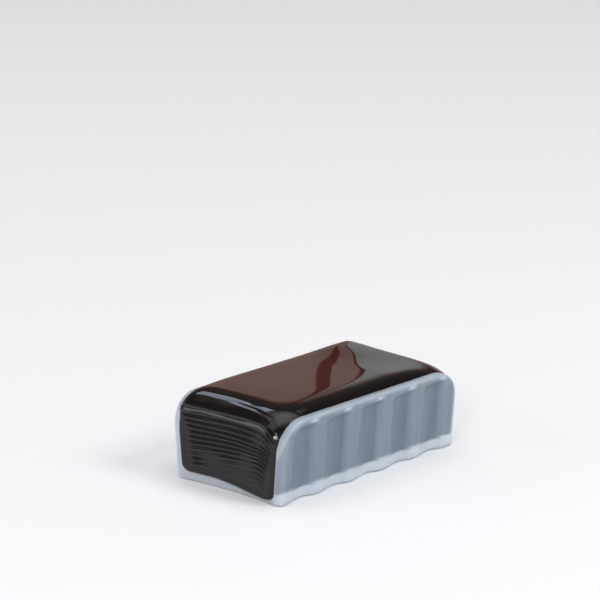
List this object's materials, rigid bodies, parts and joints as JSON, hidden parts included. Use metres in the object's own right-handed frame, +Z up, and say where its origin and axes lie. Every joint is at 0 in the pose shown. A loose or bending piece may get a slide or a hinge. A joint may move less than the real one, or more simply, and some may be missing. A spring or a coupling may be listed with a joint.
{
  "type": "rosin cake",
  "caption": "Block of dark bow rosin cast in a frosted plastic tray with fluted finger-grip walls, bare on top and at both ends.",
  "frame": {"origin": "middle of the tray's foot, on the surface that the cake stands on", "axes": "+X along the cake and its walls, +Z up through the rosin's playing face, +Y across from wall to wall"},
  "size_m": [0.0596, 0.0346, 0.0206],
  "materials": {
    "frosted_plastic": "frosted translucent polypropylene, satin, with faint upright moulding streaks",
    "dark_rosin": "glassy black-brown cast resin, amber where it is thin, mirror gloss on top and rippled at the ends"
  },
  "bodies": {
    "root": {"tray": "frosted_plastic", "rosin_block": "dark_rosin"}
  },
  "joints": []
}
